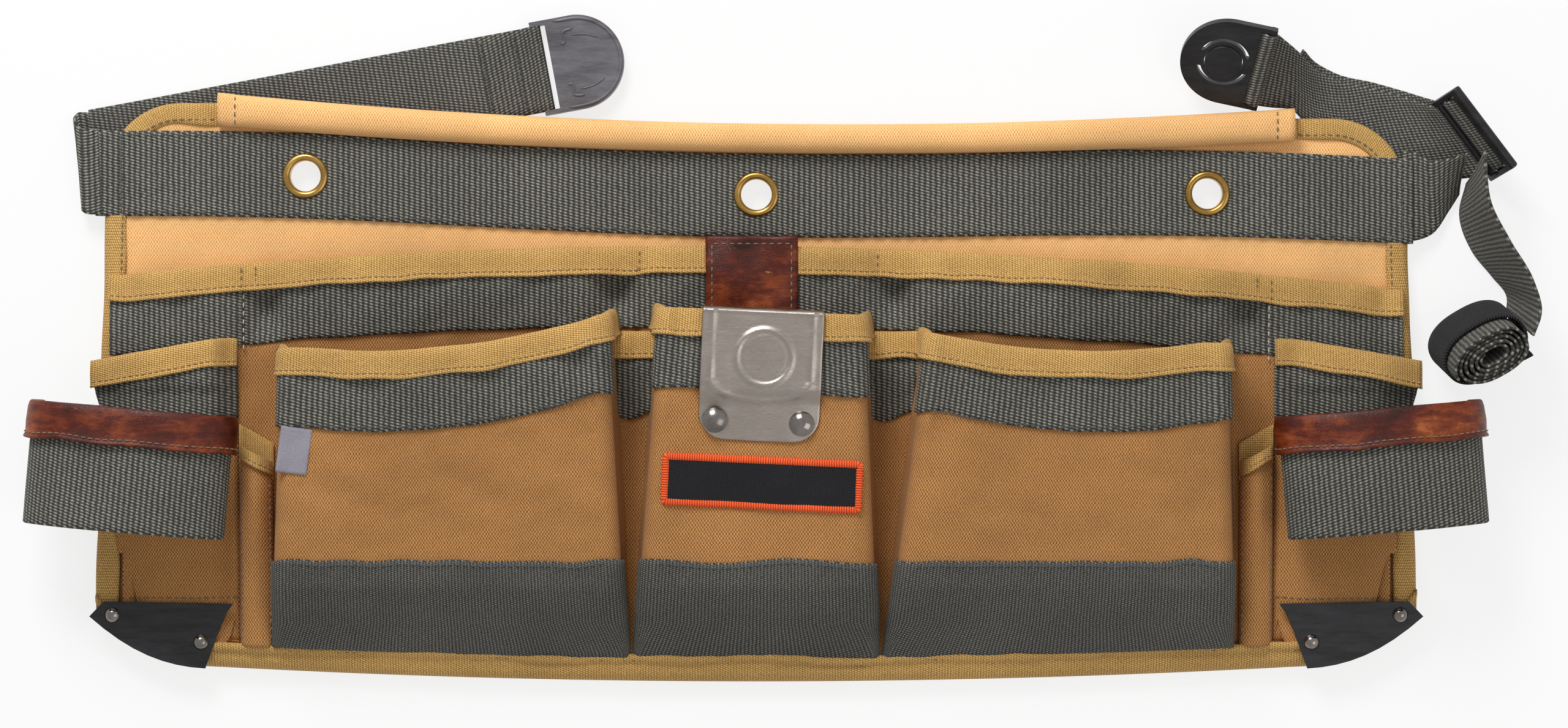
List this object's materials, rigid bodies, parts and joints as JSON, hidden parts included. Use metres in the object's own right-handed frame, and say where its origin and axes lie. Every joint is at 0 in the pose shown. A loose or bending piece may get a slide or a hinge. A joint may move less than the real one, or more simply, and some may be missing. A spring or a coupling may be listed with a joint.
{
  "type": "tool belt",
  "caption": "Canvas waist apron with two rows of tool pockets, hammer loops, a tape-measure clip and an adjustable webbing belt with a push-button buckle.",
  "frame": {"origin": "on the table under the middle of the bottom edge binding, 2 mm in from its outer edge", "axes": "+X along the waist towards the wearer's left, +Y up to the waist edge, +Z out of the apron's front"},
  "size_m": [0.6842, 0.3042, 0.0573],
  "materials": {
    "canvas": "heavy duck canvas",
    "tape": "grosgrain tape",
    "webbing": "coarse woven webbing",
    "leather": "oiled, waxed leather",
    "black_plastic": "moulded, slightly worn",
    "grey_plastic": "moulded, satin",
    "brass": "rolled brass",
    "steel": "brushed, with bright bent edges",
    "nickel": "domed rivet heads",
    "patch_field": "woven patch field",
    "patch_border": "merrowed border thread",
    "tag": "woven satin tag",
    "hook_loop": "hook-and-loop tape"
  },
  "bodies": {
    "apron": {"back_panel": "canvas", "bottom_binding": "tape", "side_bindings": "tape", "corner_bindings": "tape", "top_roll": "canvas", "waist_webbing": "webbing", "grommets": "brass", "grommet_washers": "brass", "upper_front": "canvas", "upper_seams": "canvas", "upper_band": "webbing", "upper_binding": "tape", "left_side_pocket": "canvas", "right_side_pocket": "canvas", "side_bands": "webbing", "side_bindings_mouth": "tape", "channels": "canvas", "channel_bands": "webbing", "channel_bindings": "tape", "left_main_front": "canvas", "left_main_gussets": "canvas", "left_main_band": "webbing", "left_main_binding": "tape", "left_main_base": "webbing", "right_main_front": "canvas", "right_main_gussets": "canvas", "right_main_band": "webbing", "right_main_binding": "tape", "right_main_base": "webbing", "centre_front": "canvas", "centre_gussets": "canvas", "centre_band": "webbing", "centre_binding": "tape", "centre_base": "webbing", "pencil_slots": "canvas", "pencil_bindings": "tape", "left_hammer_loop": "webbing", "right_hammer_loop": "webbing", "left_loop_leather": "leather", "right_loop_leather": "leather", "corner_guards": "black_plastic", "guard_rivets": "nickel", "leather_tab": "leather", "tape_clip": "steel", "clip_rivets": "nickel", "patch": "patch_field", "patch_border": "patch_border", "side_tag": "tag", "right_lead": "webbing", "adjuster": "black_plastic", "right_strap": "webbing", "strap_tail": "webbing", "tail_roll": "webbing", "tail_keeper": "hook_loop"},
    "left_strap": {"left_fold": "webbing", "left_strap": "webbing"},
    "left_buckle": {"left_buckle": "grey_plastic"},
    "latch_plate": {"latch_plate": "black_plastic"},
    "latch_button": {"latch_button": "black_plastic"},
    "keeper_flap": {"keeper_flap": "hook_loop"}
  },
  "joints": [
    {"name": "left_strap_swing", "type": "hinge", "parent": "apron", "child": "left_strap", "pos_m": [-0.3055, 0.2344, 0.0038], "axis": [-0.0698, 0.9976, 0], "range_deg": [0, 180]},
    {"name": "left_buckle_pivot", "type": "hinge", "parent": "left_strap", "child": "left_buckle", "pos_m": [-0.0981, 0.27771, 0.00385], "axis": [-0.184, 0.9829, 0], "range_deg": [-70, 70]},
    {"name": "latch_plate_pivot", "type": "hinge", "parent": "apron", "child": "latch_plate", "pos_m": [0.23, 0.27675, 0.017], "axis": [-0.1703, -0.8013, -0.5736], "range_deg": [-25, 50]},
    {"name": "latch_button_press", "type": "slide", "parent": "latch_plate", "child": "latch_button", "axis": [0.1193, 0.561, -0.8192], "range_m": [0, 0.0018], "stiffness_N_per_m": 300, "springref_m": -0.0005},
    {"name": "keeper_flap_peel", "type": "hinge", "parent": "apron", "child": "keeper_flap", "pos_m": [0.33085, 0.14044, 0.0175], "axis": [0.171, -0.2962, 0.9397], "range_deg": [-90, 0]}
  ]
}
